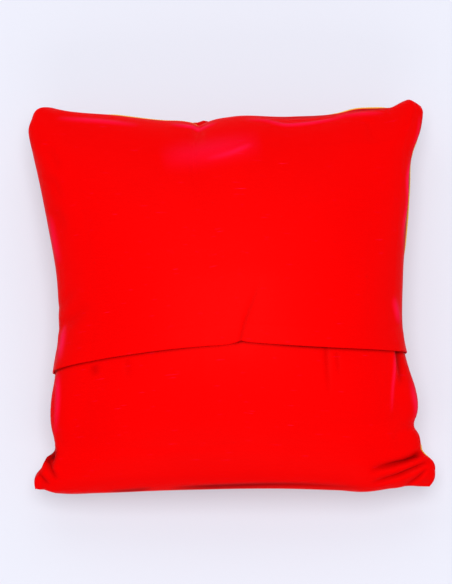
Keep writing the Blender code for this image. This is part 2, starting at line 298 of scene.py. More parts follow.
def smooth_through(places: np.ndarray, values: np.ndarray, at: np.ndarray) -> np.ndarray:
    """Reads the smooth curve through values at rising places.

    Args:
        places: the rising places of the values.
        values: one value, or one row of values, for each place.
        at: the places asked for.

    Returns:
        The curve's value at each place asked for.
    """
    places = np.asarray(places, float)
    values = np.asarray(values, float)
    at = np.asarray(at, float)
    slopes = np.gradient(values, places, axis=0)
    span = np.clip(np.searchsorted(places, at) - 1, 0, len(places) - 2)
    width = places[span + 1] - places[span]
    share = (at - places[span]) / width
    extra = (1,) * (values.ndim - 1)
    width = width.reshape(width.shape + extra)
    share = share.reshape(share.shape + extra)
    rest = 1 - share
    return (
        values[span] * rest**2 * (1 + 2 * share)
        + values[span + 1] * share**2 * (1 + 2 * rest)
        + slopes[span] * width * share * rest**2
        - slopes[span + 1] * width * rest * share**2
    )


def smooth_step(low: float, high: float, value: np.ndarray) -> np.ndarray:
    """Rises smoothly from 0 at low to 1 at high."""
    share = np.clip((value - low) / (high - low), 0, 1)
    return share * share * (3 - 2 * share)


def unit(vectors: np.ndarray) -> np.ndarray:
    """The vectors at length one."""
    return vectors / np.maximum(np.linalg.norm(vectors, axis=-1, keepdims=True), LEAST_LENGTH)


@dataclass
class Lattice:
    """The columns and rows of cloth points, as angles from -1 to 1 over the crown's arc."""

    column_angles: np.ndarray
    row_angles: np.ndarray
    hem_row: int

    @property
    def shape(self) -> tuple[int, int]:
        """How many columns and rows there are."""
        return len(self.column_angles), len(self.row_angles)


@dataclass
class CushionShape:
    """The filled cushion's own form, before the cloth settles on it."""

    crown_rise: float = 64.0
    underside_drop: float = 68.0
    power_across: float = 0.42
    power_along: float = 0.58
    roll_left: float = 9.0
    roll_right: float = 6.5
    roll_bottom: float = 9.0
    roll_top: float = 2.5
    roll_width: float = 0.42
    fold_fade: float = 0.22
    hem_place: float = -0.2737
    flat_size: float = 400.0

    def side_line(self, side: Side, share: np.ndarray) -> np.ndarray:
        """Points of one side's seam.

        Args:
            side: which side.
            share: places from -1 to 1 along it.

        Returns:
            The seam's points in millimetres.
        """
        along, out, height = (column_of(SEAM[side], field) for field in ("along", "out", "height"))
        at = along[0] + (along[-1] - along[0]) * (share + 1) / 2
        far = smooth_through(along, out, at)
        high = smooth_through(along, height, at)
        across, up = (at, far) if side in (Side.TOP, Side.BOTTOM) else (far, at)
        return np.stack([across, up, high], axis=-1)

    def seam_sheet(self, a: np.ndarray, b: np.ndarray) -> np.ndarray:
        """The sheet that spans the four seams, at places a across and b along.

        Args:
            a: places from -1 at the left seam to 1 at the right one.
            b: places from -1 at the bottom seam to 1 at the top one.

        Returns:
            The sheet's point at each place, in millimetres.
        """
        east = ((a + 1) / 2)[..., None]
        north = ((b + 1) / 2)[..., None]
        ends = np.array([-1.0, 1.0])
        low_left, low_right = self.side_line(Side.BOTTOM, ends)
        high_left, high_right = self.side_line(Side.TOP, ends)
        sides = (
            self.side_line(Side.LEFT, b) * (1 - east)
            + self.side_line(Side.RIGHT, b) * east
            + self.side_line(Side.BOTTOM, a) * (1 - north)
            + self.side_line(Side.TOP, a) * north
        )
        corners = (
            low_left * (1 - east) * (1 - north)
            + low_right * east * (1 - north)
            + high_left * (1 - east) * north
            + high_right * east * north
        )
        return sides - corners

    def places(self, lattice: Lattice) -> tuple[np.ndarray, np.ndarray]:
        """Places a and b of each lattice point, with the rows bent along the hem.

        Args:
            lattice: the columns and rows of cloth points.

        Returns:
            The places a across and b along, from -1 to 1 between the seams.
        """
        columns, rows = lattice.shape
        a = np.sin(lattice.column_angles * math.pi / 2)[:, None] * np.ones(rows)
        plain = np.sin(lattice.row_angles * math.pi / 2)[None, :] * np.ones((columns, 1))
        middle = self.seam_sheet(a[:, 0], np.zeros(columns))[:, 0]
        hem_y = smooth_through(column_of(HEM, "across"), column_of(HEM, "along"), middle)
        low_y = self.side_line(Side.BOTTOM, a[:, 0])[:, 1]
        high_y = self.side_line(Side.TOP, a[:, 0])[:, 1]
        hem = (2 * (hem_y - low_y) / (high_y - low_y) - 1)[:, None]
        below = -1 + (plain + 1) * (hem + 1) / (self.hem_place + 1)
        above = 1 - (1 - plain) * (1 - hem) / (1 - self.hem_place)
        return a, np.where(plain <= self.hem_place, below, above)

    def crown(self, a: np.ndarray, b: np.ndarray) -> np.ndarray:
        """The share of the full height: one in the middle, nothing at the seam.

        Args:
            a: places across.
            b: places along.

        Returns:
            The share at each place.
        """
        across = np.clip(1 - a**2, 0, None) ** self.power_across
        along = np.clip(1 - b**2, 0, None) ** self.power_along
        return across * along

    def roll_out(self, place: np.ndarray, near: float, far: float) -> np.ndarray:
        """How far a roll at each end of the places pushes outwards, as a signed distance.

        Args:
            place: places from -1 to 1.
            near: the roll's size at the -1 end.
            far: its size at the 1 end.

        Returns:
            The distance at each place, in millimetres.
        """
        angle = np.arcsin(np.clip(place, -1, 1)) * 2 / math.pi
        depth = np.clip((1 - np.abs(angle)) / self.roll_width, 0, 1)
        return np.sin(math.pi * depth) * np.where(place < 0, -near, far)

    def both_sides(self, lattice: Lattice) -> tuple[np.ndarray, np.ndarray, np.ndarray]:
        """The filling's surfaces without folds.

        Args:
            lattice: where to read them.

        Returns:
            The shown surface, the resting surface, and the share of the crown's height.
        """
        a, b = self.places(lattice)
        sheet = self.seam_sheet(a, b)
        share = self.crown(a, b)
        sheet[..., 0] += self.roll_out(a, self.roll_left, self.roll_right) * np.sqrt(share)
        sheet[..., 1] += self.roll_out(b, self.roll_bottom, self.roll_top) * np.sqrt(share)
        shown, resting = sheet.copy(), sheet.copy()
        shown[..., 2] += self.crown_rise * share
        resting[..., 2] = np.maximum(resting[..., 2] - self.underside_drop * share, 0)
        return shown, resting, share

    def flat_places(self, lattice: Lattice) -> np.ndarray:
        """Where each lattice point lies on the cloth before it is filled, in millimetres.

        Args:
            lattice: the columns and rows of cloth points.

        Returns:
            The place of each point from the flat cloth's middle, across and along.
        """
        shown, _, _ = self.both_sides(lattice)
        middle_column, middle_row = (count // 2 for count in lattice.shape)
        across = np.linalg.norm(np.diff(shown[:, middle_row], axis=0), axis=-1)
        along = np.linalg.norm(np.diff(shown[middle_column], axis=0), axis=-1)
        across = np.concatenate([[0], np.cumsum(across)])
        along = np.concatenate([[0], np.cumsum(along)])
        log.info("arc across %.0f mm and along %.0f mm", across[-1], along[-1])
        u = (across / across[-1] - 0.5) * self.flat_size
        v = (along / along[-1] - 0.5) * self.flat_size
        return np.stack(np.meshgrid(u, v, indexing="ij"), axis=-1)


def level_normal(way: np.ndarray) -> np.ndarray:
    """Level directions a quarter turn to the left of these ways."""
    return unit(np.stack([-way[..., 1], way[..., 0], np.zeros(way.shape[:-1])], axis=-1))


def outward(points: np.ndarray) -> np.ndarray:
    """Directions out of the shown surface, level and straight out of the side along the seam.

    Args:
        points: the surface's points, by column and row.

    Returns:
        A direction of length one for each point.
    """
    along_row, along_column = np.gradient(points, axis=0), np.gradient(points, axis=1)
    normal = unit(np.cross(along_row, along_column))
    edge = np.zeros_like(points)
    for end, turn in ((0, 1), (-1, -1)):
        edge[end] += turn * level_normal(along_column[end])
        edge[:, end] -= turn * level_normal(along_row[:, end])
    on_edge = np.linalg.norm(edge, axis=-1, keepdims=True) > 0
    return np.where(on_edge, unit(edge), normal)


def smooth_line(places: tuple[tuple[float, float], ...], count: int = 25) -> np.ndarray:
    """Points evenly along the smooth curve through a few places.

    Args:
        places: the places that the curve goes through.
        count: how many points.

    Returns:
        The points.
    """
    line = np.array(places, float)
    travelled = np.concatenate([[0], np.cumsum(np.linalg.norm(np.diff(line, axis=0), axis=1))])
    return smooth_through(travelled, line, np.linspace(0, travelled[-1], count))


def fold_share(points: np.ndarray, fold: Fold) -> np.ndarray:
    """How much of one fold's depth there is at each point.

    Args:
        points: places over the shown face.
        fold: the fold.

    Returns:
        The share at each point: one at the fold's deepest place.
    """
    line = smooth_line(fold.line)
    lengths = np.linalg.norm(np.diff(line, axis=0), axis=1)
    nearest = np.full(points.shape[:-1], np.inf)
    beside = np.zeros(points.shape[:-1])
    travelled = np.zeros(points.shape[:-1])
    before = 0.0
    for start, end, length in zip(line[:-1], line[1:], lengths):
        way = (end - start) / length
        share = np.clip((points - start) @ way / length, 0, 1)
        away = points - (start + share[..., None] * (end - start))
        distance = np.linalg.norm(away, axis=-1)
        closer = distance < nearest
        nearest = np.where(closer, distance, nearest)
        beside = np.where(closer, np.sign(way[0] * away[..., 1] - way[1] * away[..., 0]), beside)
        travelled = np.where(closer, before + share * length, travelled)
        before += length
    way = travelled / before
    rising = way / fold.peak if fold.peak > 0 else np.ones_like(way)
    falling = (1 - way) / (1 - fold.peak)
    strength = np.clip(np.minimum(rising, falling), 0, 1)
    across = nearest / fold.width
    profile = np.exp(-(across**2))
    if fold.lip:
        aside = across * beside * np.sign(fold.lip) - LIP_PLACE
        profile -= abs(fold.lip) * np.exp(-(aside**2))
    return strength * (2 - strength) * profile


def add_grid(mesh: bmesh.types.BMesh, shape: tuple[int, ...]) -> list[tuple[bmesh.types.BMVert, int, int]]:
    """Adds a flat grid of points to a mesh.

    Args:
        mesh: the mesh that it goes into.
        shape: a shape that starts with the number of columns and of rows.

    Returns:
        Each new vertex, with its column and its row.
    """
    columns, rows = shape[0] - 1, shape[1] - 1
    made = bmesh.ops.create_grid(mesh, x_segments=columns, y_segments=rows, size=1)["verts"]
    return [
        (vertex, round((vertex.co.x + 1) / 2 * columns), round((vertex.co.y + 1) / 2 * rows))
        for vertex in made
    ]


def grid_layer(
    mesh: bmesh.types.BMesh, surface: np.ndarray, flat: np.ndarray, painted_light: np.ndarray | None = None
) -> list[bmesh.types.BMVert]:
    """Adds a layer of cloth points to a mesh.

    Args:
        mesh: the mesh that it goes into.
        surface: the layer's points in metres, by column and row.
        flat: the same points' places on the flat cloth, in metres.
        painted_light: how much painted shade each point gets in a fold, or below nothing how much painted
            highlight it gets on a crest.

    Returns:
        The new vertices.
    """
    uv = mesh.loops.layers.uv[UV_NAME]
    mark = mesh.verts.layers.float[PAINTED_LIGHT_NAME]
    made = add_grid(mesh, surface.shape)
    for vertex, column, row in made:
        vertex.co = surface[column, row]
        # painted shade in folds and painted highlights on crests
        if painted_light is not None:
            vertex[mark] = painted_light[column, row]
        for loop in vertex.link_loops:
            loop[uv].uv = flat[column, row]
    return [vertex for vertex, _, _ in made]


def new_cloth_mesh() -> bmesh.types.BMesh:
    """An empty mesh that can hold places on the flat cloth, and the cloth's wear.

    Returns:
        The empty mesh.
    """
    mesh = bmesh.new()
    mesh.loops.layers.uv.new(UV_NAME)
    mesh.verts.layers.float.new(PAINTED_LIGHT_NAME)
    return mesh


def weld_rim(mesh: bmesh.types.BMesh) -> None:
    """Joins the open rims of a mesh where they meet."""
    rim = [vertex for vertex in mesh.verts if vertex.is_boundary]
    bmesh.ops.remove_doubles(mesh, verts=rim, dist=WELD_REACH)


def faces_around(vertices: list[bmesh.types.BMVert]) -> list[bmesh.types.BMFace]:
    """The faces that meet these vertices."""
    return list({face for vertex in vertices for face in vertex.link_faces})


def shown_object(name: str, data: bpy.types.Mesh, material: bpy.types.Material) -> bpy.types.Object:
    """Turns mesh data into a smooth piece with one finish that rides with the cushion.

    Args:
        name: the piece's name.
        data: its mesh data.
        material: its finish.

    Returns:
        The new piece.
    """
    data.materials.clear()
    data.materials.append(material)
    data.shade_smooth()
    piece = bpy.data.objects.new(name, data)
    bpy.context.scene.collection.objects.link(piece)
    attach(piece, BODY)
    return piece


def mesh_data(name: str, mesh: bmesh.types.BMesh) -> bpy.types.Mesh:
    """Turns a working mesh into mesh data, and frees it.

    Args:
        name: the data's name.
        mesh: the working mesh.

    Returns:
        The mesh data.
    """
    data = bpy.data.meshes.new(name)
    mesh.to_mesh(data)
    mesh.free()
    return data


@dataclass
class Settling:
    """Lets the cloth settle over its filling, held along the seam."""

    columns: int = 75
    rows: int = 71
    frames: int = 20
    pressure: float = 6.0
    vertex_mass: float = 0.002
    tension: float = 20.0
    shear: float = 5.0
    bending: float = 0.3
    air_damping: float = 2.0
    quality: int = 7
    most: float = 6.0
    smoothing: int = 2

    def run(self, shape: CushionShape) -> tuple[Lattice, np.ndarray, np.ndarray]:
        """Simulates the filled cover.

        Args:
            shape: the form that it starts from.

        Returns:
            The lattice that was simulated, and how far the shown and the resting cloth moved on it.
        """
        lattice = Lattice(np.linspace(-1, 1, self.columns), np.linspace(-1, 1, self.rows), hem_row=0)
        shown, resting, _ = shape.both_sides(lattice)
        flat = shape.flat_places(lattice)
        piece = self.start_piece(shown, resting, flat)
        self.add_cloth(piece)
        scene = bpy.context.scene
        for number in range(1, self.frames + 1):
            scene.frame_set(number)
        graph = bpy.context.evaluated_depsgraph_get()
        settled = piece.evaluated_get(graph).data
        places = np.empty(len(settled.vertices) * 3, np.float32)
        settled.vertices.foreach_get("co", places)
        places = places.reshape(-1, 3).astype(float) / MILLIMETRE
        tops = np.empty(len(places), np.int32)
        piece.data.attributes["lattice"].data.foreach_get("value", tops)
        moved_top = self.read_back(places, tops, shown, 0)
        moved_low = self.read_back(places, tops, resting, shown.shape[0] * shown.shape[1])
        scene.frame_set(1)
        bpy.data.objects.remove(piece)
        log.info(
            "cloth moved by up to %.1f mm, %.1f mm on average",
            np.abs(moved_top).max(),
            np.linalg.norm(moved_top, axis=-1).mean(),
        )
        return lattice, moved_top, moved_low

    def start_piece(self, shown: np.ndarray, resting: np.ndarray, flat: np.ndarray) -> bpy.types.Object:
        """The closed cover before it settles, with its flat cut as the shape that it wants back.

        Args:
            shown: the shown side's points, in millimetres.
            resting: the resting side's points.
            flat: the points' places on the flat cloth.

        Returns:
            The cover, which is removed again once it has settled.
        """
        mesh = bmesh.new()
        mark = mesh.verts.layers.int.new("lattice")
        count = flat.shape[0] * flat.shape[1]
        for surface, start in ((shown, 0), (resting, count)):
            made = add_grid(mesh, surface.shape)
            for vertex, column, row in made:
                vertex[mark] = start + column * surface.shape[1] + row
                vertex.co = surface[column, row] * MILLIMETRE
        bmesh.ops.reverse_faces(mesh, faces=faces_around([vertex for vertex, _, _ in made]))
        weld_rim(mesh)
        data = mesh_data("settling_cover", mesh)
        piece = bpy.data.objects.new("settling_cover", data)
        bpy.context.scene.collection.objects.link(piece)
        marks = np.empty(len(data.vertices), np.int32)
        data.attributes["lattice"].data.foreach_get("value", marks)
        column, row = np.divmod(marks % count, flat.shape[1])
        on_rim = (column == 0) | (row == 0) | (column == flat.shape[0] - 1) | (row == flat.shape[1] - 1)
        group = piece.vertex_groups.new(name="seam")
        group.add([int(i) for i in np.flatnonzero(on_rim)], 1.0, "REPLACE")
        piece.shape_key_add(name="Basis")
        cut = piece.shape_key_add(name="flat_cut")
        places = np.zeros((len(marks), 3), np.float32)
        places[:, :2] = flat[column, row] * MILLIMETRE
        cut.data.foreach_set("co", places.ravel())
        return piece

    def add_cloth(self, piece: bpy.types.Object) -> None:
        """Gives the cover its cloth settings.

        Args:
            piece: the closed cover.
        """
        cloth = piece.modifiers.new("settle", "CLOTH")
        cloth.point_cache.frame_start = 1
        cloth.point_cache.frame_end = self.frames
        settings = cloth.settings
        settings.quality = self.quality
        settings.mass = self.vertex_mass
        settings.tension_stiffness = self.tension
        settings.compression_stiffness = self.tension
        settings.shear_stiffness = self.shear
        settings.bending_stiffness = self.bending
        settings.air_damping = self.air_damping
        settings.use_pressure = True
        settings.uniform_pressure_force = self.pressure
        settings.effector_weights.gravity = 0
        settings.vertex_group_mass = "seam"
        settings.rest_shape_key = piece.data.shape_keys.key_blocks["flat_cut"]
        cloth.collision_settings.use_collision = False

    def read_back(self, places: np.ndarray, marks: np.ndarray, start: np.ndarray, first: int) -> np.ndarray:
        """How far one side's cloth moved, softly capped.

        Args:
            places: every vertex's place after settling.
            marks: every vertex's number on the lattice.
            start: the side's points before settling.
            first: the number of the side's first point.

        Returns:
            The move of each lattice point, in millimetres.
        """
        moved = np.zeros(start.shape).reshape(-1, 3)
        mine = (marks >= first) & (marks < first + len(moved))
        index = marks[mine] - first
        moved[index] = places[mine] - start.reshape(-1, 3)[index]
        moved = moved.reshape(start.shape)
        for _ in range(self.smoothing):
            for axis in (0, 1):
                near = np.roll(moved, 1, axis) + np.roll(moved, -1, axis)
                inside = (slice(1, -1), slice(None)) if axis == 0 else (slice(None), slice(1, -1))
                moved[inside] = moved[inside] / 2 + near[inside] / 4
        size = np.linalg.norm(moved, axis=-1, keepdims=True)
        return moved * self.most * np.tanh(size / self.most) / np.maximum(size, LEAST_LENGTH)


@dataclass
class CushionForm:
    """The settled cushion: the surfaces that every piece of cloth lies on."""

    shape: CushionShape
    columns: int = 220
    rows: int = 196
    hem_steps: tuple[float, ...] = (0.35, 0.8, 1.5, 2.6, 16.5, 18.0, 19.5)
    seam_tuck: float = 1.6
    tuck_reach: float = 4.0
    bulge: float = 8.0
    bulge_across: float = -31.0
    bulge_width: float = 9.0
    bulge_depth: float = 0.09
    # how much painted shadow falls on the lower panel under the flap's edge, for each millimetre that it
    # lifts
    hem_painted_shadow: float = 0.42
    wall_lean: tuple[float, float] = (0.15, 0.55)
    least_row: float = 0.3
    tuck_share: float = 0.35
    corner_blend: float = 0.04

    def build(self, settling: Settling) -> None:
        """Works out the surfaces, their directions and the cloth's flat places.

        Args:
            settling: what settles the cloth over its filling.
        """
        self.lattice = self.fine_lattice()
        coarse, moved_top, moved_low = settling.run(self.shape)
        shown, resting, share = self.shape.both_sides(self.lattice)
        shown += self.resampled(coarse, moved_top)
        resting += self.resampled(coarse, moved_low)
        resting[..., 2] = np.maximum(resting[..., 2], 0)
        resting[..., 1] += self.front_bulge(resting)
        self.share = share
        self.flat = self.shape.flat_places(self.lattice)
        fade = np.clip(share / self.shape.fold_fade, 0, 1)
        out = outward(shown)
        over = shown[..., :2].copy()
        # painted shade in folds and painted highlights on crests, for each layer
        pressed = {layer: np.zeros(share.shape) for layer in Layer}
        painted_light_and_slub = {layer: np.zeros(share.shape) for layer in Layer}
        upward = smooth_step(*self.wall_lean, out[..., 2])
        for layer, folds in FOLDS.items():
            for fold in folds:
                folded = fold_share(over, fold)
                pressed[layer] += fold.depth * folded * fade
                # painted highlights fade out where the surface turns into a steep wall
                on_top = upward if fold.painted_light < 0 else 1
                painted_light_and_slub[layer] += fold.painted_light * np.maximum(folded, 0) * on_top
        self.shown = shown - out * pressed[Layer.ALL][..., None]
        self.lower_press = pressed[Layer.LOWER]
        self.painted_light = painted_light_and_slub[Layer.ALL]
        self.lower_painted_light = self.painted_light + painted_light_and_slub[Layer.LOWER]
        # painted shadow on the lower panel just under the flap's edge, stronger where the edge lifts
        hem = self.lattice.hem_row
        self.lower_painted_light[:, hem] += self.hem_painted_shadow * self.hem_lift_at(over[:, hem, 0])
        self.resting = resting
        self.tuck_seam()
        self.out = outward(self.shown)
        self.centre()

    def front_bulge(self, resting: np.ndarray) -> np.ndarray:
        """How far the front cloth stands out behind the dip in the top seam.

        Args:
            resting: the resting surface's points.

        Returns:
            The distance at each point, in millimetres.
        """
        depth = (1 - self.lattice.row_angles)[None, :] / self.bulge_depth
        across = (resting[..., 0] - self.bulge_across) / self.bulge_width
        return self.bulge * np.exp(-(across**2)) * depth * np.exp(1 - depth)

    def fine_lattice(self) -> Lattice:
        """Even angles, with extra rows where the hem is rounded and where its turned edge ends.

        Returns:
            The lattice that every piece of cloth is built on.
        """
        hem_angle = math.asin(self.shape.hem_place) * 2 / math.pi
        half = self.shape.flat_size / 2
        near = [math.asin(self.shape.hem_place + step / half) * 2 / math.pi for step in self.hem_steps]
        low = np.linspace(-1, hem_angle, round(self.rows * (hem_angle + 1) / 2))
        high = np.linspace(hem_angle, 1, self.rows - len(low))[1:]
        clear = self.least_row / half
        high = [angle for angle in high if min(abs(angle - other) for other in near) > clear]
        rows = np.array(sorted([*low, *near, *high]))
        columns = np.linspace(-1, 1, self.columns + 1)
        return Lattice(columns, rows, len(low) - 1)

    def resampled(self, coarse: Lattice, moved: np.ndarray) -> np.ndarray:
        """The coarse lattice's moves, read smoothly at the fine one's points.

        Args:
            coarse: the lattice that was settled.
            moved: the move of each of its points.

        Returns:
            The move of each point of the fine lattice.
        """
        by_column = smooth_through(coarse.column_angles, moved, self.lattice.column_angles)
        by_row = smooth_through(
            coarse.row_angles, by_column.transpose(1, 0, 2), self.lattice.row_angles
        )
        return by_row.transpose(1, 0, 2)

    def tuck_seam(self) -> None:
        """Draws the cloth in along the seam, so that the cord lies in a groove."""
        out = outward(self.shown)
        rim_out = np.zeros_like(out)
        rim_out[..., :2] = self.spread_rim(out)[..., :2]
        for surface in (self.shown, self.resting):
            above = np.abs(surface[..., 2] - self.seam_height())
            near = np.exp(-((above / self.tuck_reach) ** 2)) * (self.share < self.tuck_share)
            surface -= rim_out * (near * self.seam_tuck)[..., None]

    def seam_height(self) -> np.ndarray:
        """The seam sheet's height under each point."""
        a, b = self.shape.places(self.lattice)
        return self.shape.seam_sheet(a, b)[..., 2]

    def spread_rim(self, out: np.ndarray) -> np.ndarray:
        """For each point, the outward direction of the nearest side of the seam.

        Args:
            out: the surface's outward directions.

        Returns:
            One of the seam's directions for each point, blended near the corners' diagonals.
        """
        columns, rows = self.lattice.shape
        column = np.abs(self.lattice.column_angles)[:, None] * np.ones(rows)
        row = np.abs(self.lattice.row_angles)[None, :] * np.ones((columns, 1))
        west = (self.lattice.column_angles < 0)[:, None]
        south = (self.lattice.row_angles < 0)[None, :]
        across = np.where(west[..., None], out[:1], out[-1:])
        along = np.where(south[..., None], out[:, :1], out[:, -1:])
        lean = smooth_step(-self.corner_blend, self.corner_blend, column - row)[..., None]
        return unit(across * lean + along * (1 - lean))

    def centre(self) -> None:
        """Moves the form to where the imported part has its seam."""
        low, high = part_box("seam_edging")
        middle = (low + high) / 2 / MILLIMETRE
        rim = self.rim(self.shown)
        mine = (rim.min(axis=0) + rim.max(axis=0)) / 2
        shift = np.array([middle.x - mine[0], middle.y - mine[1], 0])
        self.shown = self.shown + shift
        self.resting = self.resting + shift
        self.shift = shift

    @staticmethod
    def rim(surface: np.ndarray) -> np.ndarray:
        """A surface's points round its edge, anticlockwise from the lower left corner."""
        return np.concatenate(
            [surface[:-1, 0], surface[-1, :-1], surface[:0:-1, -1], surface[0, :0:-1]]
        )

    def hem_lift(self) -> np.ndarray:
        """How far the flap's edge stands off the panel below, for each column."""
        return self.hem_lift_at(self.shown[:, self.lattice.hem_row, 0] - self.shift[0])

    @staticmethod
    def hem_lift_at(across: np.ndarray) -> np.ndarray:
        """How far the flap's edge stands off the panel below, at places across."""
        return smooth_through(column_of(HEM, "across"), column_of(HEM, "lift"), across)


Colour = tuple[float, float, float, float]
Socket = bpy.types.NodeSocket
SocketValue = Socket | float | tuple[float, ...]


class FinishNodes:
    """One finish's nodes, as they are joined up."""

    def __init__(self, name: str) -> None:
        """Starts a finish with its shader alone.

        Args:
            name: the material's name.
        """
        self.material = bpy.data.materials.new(name)
        self.material.use_nodes = True
        self.nodes = self.material.node_tree.nodes
        self.shader = self.nodes["Principled BSDF"]

    def give(self, socket: Socket, value: SocketValue) -> None:
        """Gives a socket its value, or joins it to the socket that the value comes from.

        Args:
            socket: the input.
            value: its value, or an output to join it to.
        """
        if isinstance(value, Socket):
            self.material.node_tree.links.new(value, socket)
        else:
            socket.default_value = value

    def add(self, kind: str, output: str, **inputs: SocketValue) -> Socket:
        """Adds a node of one kind.

        Args:
            kind: the node's kind.
            output: the name of the output wanted.
            inputs: its inputs by name, with an underscore for each space.

        Returns:
            The output.
        """
        node = self.nodes.new(kind)
        if kind == "ShaderNodeMix":
            node.data_type = "RGBA"
        for name, value in inputs.items():
            self.give(node.inputs[name.replace("_", " ")], value)
        return node.outputs[output]

    def shade(self, **inputs: SocketValue) -> None:
        """Gives the shader its inputs by name, with an underscore for each space."""
        for name, value in inputs.items():
            self.give(self.shader.inputs[name.replace("_", " ")], value)

    def math(self, operation: str, first: SocketValue, second: SocketValue) -> Socket:
        """One sum of two sockets or numbers.

        Args:
            operation: the kind of sum.
            first: its first number or socket.
            second: its second one.

        Returns:
            The result.
        """
        node = self.nodes.new("ShaderNodeMath")
        node.operation = operation
        self.give(node.inputs[0], first)
        self.give(node.inputs[1], second)
        return node.outputs["Value"]

    def mix(self, under: SocketValue, over: SocketValue, share: SocketValue) -> Socket:
        """One colour over another by a share."""
        return self.add("ShaderNodeMix", "Result", A=under, B=over, Factor=share)

    def share(self, value: Socket, low: float, high: float, most: float = 1.0) -> Socket:
        """How far a value is on its way from low to high, up to the most."""
        return self.add(
            "ShaderNodeMapRange", "Result", Value=value, From_Min=low, From_Max=high, To_Max=most
        )

    def noise(self, place: Socket, scale: float, detail: float) -> Socket:
        """A noise at a place."""
        return self.add("ShaderNodeTexNoise", "Fac", Vector=place, Scale=scale, Detail=detail)


@dataclass(frozen=True)
class Cotton:
    """Plain woven red cotton, with painted shade in its folds and painted highlights on its crests."""

    name: str
    colour: Colour
    shade: Colour
    # the painted shade colour for the bottoms of folds
    painted_fold_shade: Colour = (0.16, 0.0, 0.0, 1.0)
    # the painted highlight colour for crests, also the colour of the pale slubs
    painted_light_and_slub: Colour = (0.95, 0.012, 0.1, 1.0)
    roughness: float = 0.45
    specular: float = 0.012
    sheen: float = 0.04
    sheen_roughness: float = 0.3
    sheen_tint: Colour = (1.0, 0.5, 0.6, 1.0)
    slub_scale: tuple[float, float, float] = (45, 1400, 1)
    slub_detail: float = 2.0
    slub_start: float = 0.71
    slub_end: float = 0.79
    slub_share: float = 0.5
    slub_height: float = 0.00006
    slub_strength: float = 0.5
    cloud_scale: tuple[float, float, float] = (14, 14, 1)
    cloud_detail: float = 3.0
    cloud_range: tuple[float, float] = (0.12, 0.34)
    thread_pitch: float = 0.0005
    weave_height: float = 0.00005
    weave_strength: float = 0.35

    def material(self) -> bpy.types.Material:
        """Builds the cotton's material, with its pattern on the flat cloth.

        Returns:
            The material.
        """
        made = FinishNodes(self.name)
        place_node = made.nodes.new("ShaderNodeUVMap")
        place_node.uv_map = UV_NAME
        place = place_node.outputs["UV"]
        slub = self.stretched(made, place, self.slub_scale, self.slub_detail)
        cloud = self.stretched(made, place, self.cloud_scale, self.cloud_detail)
        tone = made.share(made.math("MULTIPLY", slub, cloud), *self.cloud_range)
        colour = made.mix(self.shade, self.colour, tone)
        # the painted shade and painted highlights that the cloth carries from its folds and crests
        painted_light_node = made.nodes.new("ShaderNodeAttribute")
        painted_light_node.attribute_name = PAINTED_LIGHT_NAME
        painted_light = painted_light_node.outputs["Fac"]
        # painted shade darkens the folds, and a painted highlight pales the crests
        colour = made.mix(colour, self.painted_fold_shade, made.share(painted_light, 0.0, 1.0))
        colour = made.mix(colour, self.painted_light_and_slub, made.share(painted_light, 0.0, -1.0))
        # pale slubs, in the same colour as the painted highlights
        slubs = made.share(slub, self.slub_start, self.slub_end, self.slub_share)
        made.shade(
            Base_Color=made.mix(colour, self.painted_light_and_slub, slubs),
            Roughness=self.roughness,
            Specular_IOR_Level=self.specular,
            Sheen_Weight=self.sheen,
            Sheen_Roughness=self.sheen_roughness,
            Sheen_Tint=self.sheen_tint,
            Normal=self.weave(made, place, slub),
        )
        return made.material

    @staticmethod
    def stretched(
        made: FinishNodes, place: Socket, scale: tuple[float, float, float], detail: float
    ) -> Socket:
        """A noise on the flat cloth, stretched by its scale."""
        spread = made.add("ShaderNodeMapping", "Vector", Vector=place, Scale=scale)
        return made.noise(spread, 1.0, detail)

    def weave(self, made: FinishNodes, place: Socket, slub: Socket) -> Socket:
        """Over-and-under threads, with slubs along the weft.

        Args:
            made: the finish being joined up.
            place: the place on the flat cloth.
            slub: the slubs' noise.

        Returns:
            The normal for the shader.
        """
        turn = FULL_TURN / 2 / self.thread_pitch
        waves = []
        for axis in ("X", "Y"):
            along = made.add("ShaderNodeSeparateXYZ", axis, Vector=place)
            waves.append(made.math("SINE", made.math("MULTIPLY", along, turn), 0.0))
        fine = made.add(
            "ShaderNodeBump",
            "Normal",
            Strength=self.weave_strength,
            Distance=self.weave_height,
            Height=made.math("MULTIPLY", *waves),
        )
        return made.add(
            "ShaderNodeBump",
            "Normal",
            Strength=self.slub_strength,
            Distance=self.slub_height,
            Height=slub,
            Normal=fine,
        )


@dataclass(frozen=True)
class CordFinish:
    """Twisted yellow cotton cord, a little uneven along its length."""

    name: str = "yellow_cord"
    colour: Colour = (0.88, 0.55, 0.03, 1.0)
    shade: Colour = (0.66, 0.34, 0.01, 1.0)
    grain_scale: float = 600.0
    grain_detail: float = 2.0
    roughness: float = 0.7
    specular: float = 0.2
    sheen: float = 0.1

    def material(self) -> bpy.types.Material:
        """Builds the cord's material.

        Returns:
            The material.
        """
        made = FinishNodes(self.name)
        place = made.add("ShaderNodeTexCoord", "Object")
        grain = made.noise(place, self.grain_scale, self.grain_detail)
        made.shade(
            Base_Color=made.mix(self.shade, self.colour, grain),
            Roughness=self.roughness,
            Specular_IOR_Level=self.specular,
            Sheen_Weight=self.sheen,
        )
        return made.material


